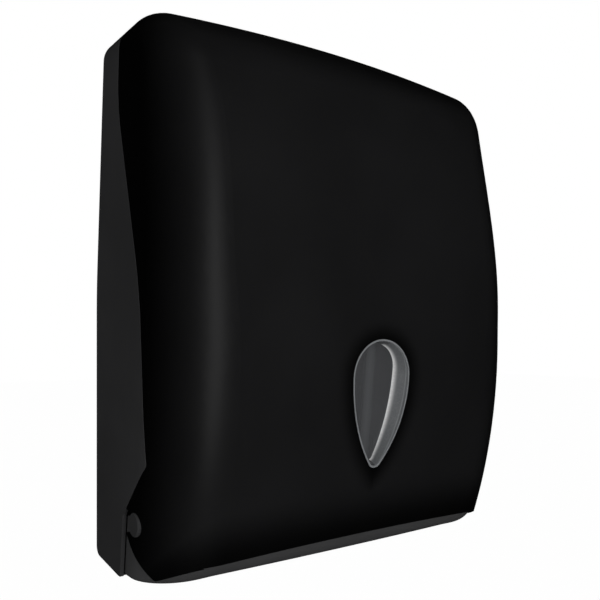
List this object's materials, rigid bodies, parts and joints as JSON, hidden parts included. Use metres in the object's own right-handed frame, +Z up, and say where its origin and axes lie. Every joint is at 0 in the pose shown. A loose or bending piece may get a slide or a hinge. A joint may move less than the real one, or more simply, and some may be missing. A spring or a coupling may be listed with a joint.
{
  "type": "folded paper towel dispenser",
  "caption": "Wall dispenser for folded paper towels: shallow rounded cover hinged low on a casing, drop-shaped sight window, cam lock on top and a towel mouth below.",
  "frame": {"origin": "centre of the four screw holes, on the wall plane", "axes": "+Z up, +Y into the wall, +X to the right as one faces the dispenser"},
  "size_m": [0.2918, 0.12, 0.3509],
  "materials": {
    "cover_abs": "satin black moulded ABS",
    "casing_abs": "fine-textured dark grey ABS",
    "tray_abs": "fine-textured dark grey ABS",
    "guide_plastic": "plain moulded polypropylene",
    "window_clear": "clear smoke-tinted polycarbonate",
    "lock_zinc": "satin nickel-plated zinc",
    "steel_zinc": "bright zinc-plated steel"
  },
  "bodies": {
    "casing": {"back_casing": "casing_abs", "paper_guide_left": "guide_plastic", "paper_guide_right": "guide_plastic", "guide_screws": "steel_zinc", "lock_catch": "steel_zinc", "catch_screws": "steel_zinc"},
    "cover": {"front_cover": "cover_abs", "sight_window": "window_clear", "bottom_tray": "tray_abs", "tray_screws": "steel_zinc", "lock_housing": "lock_zinc", "lock_washer": "steel_zinc", "lock_nut": "steel_zinc"},
    "lock": {"lock_barrel": "lock_zinc", "lock_cam": "steel_zinc", "cam_washer": "steel_zinc", "cam_screw": "steel_zinc"}
  },
  "joints": [
    {"name": "cover_hinge", "type": "hinge", "parent": "casing", "child": "cover", "pos_m": [0, -0.0625, -0.1385], "axis": [1, 0, 0], "range_deg": [0, 63]},
    {"name": "lock_turn", "type": "hinge", "parent": "cover", "child": "lock", "pos_m": [0, -0.046, 0.16], "axis": [0, 0, -1], "range_deg": [0, 90]}
  ]
}
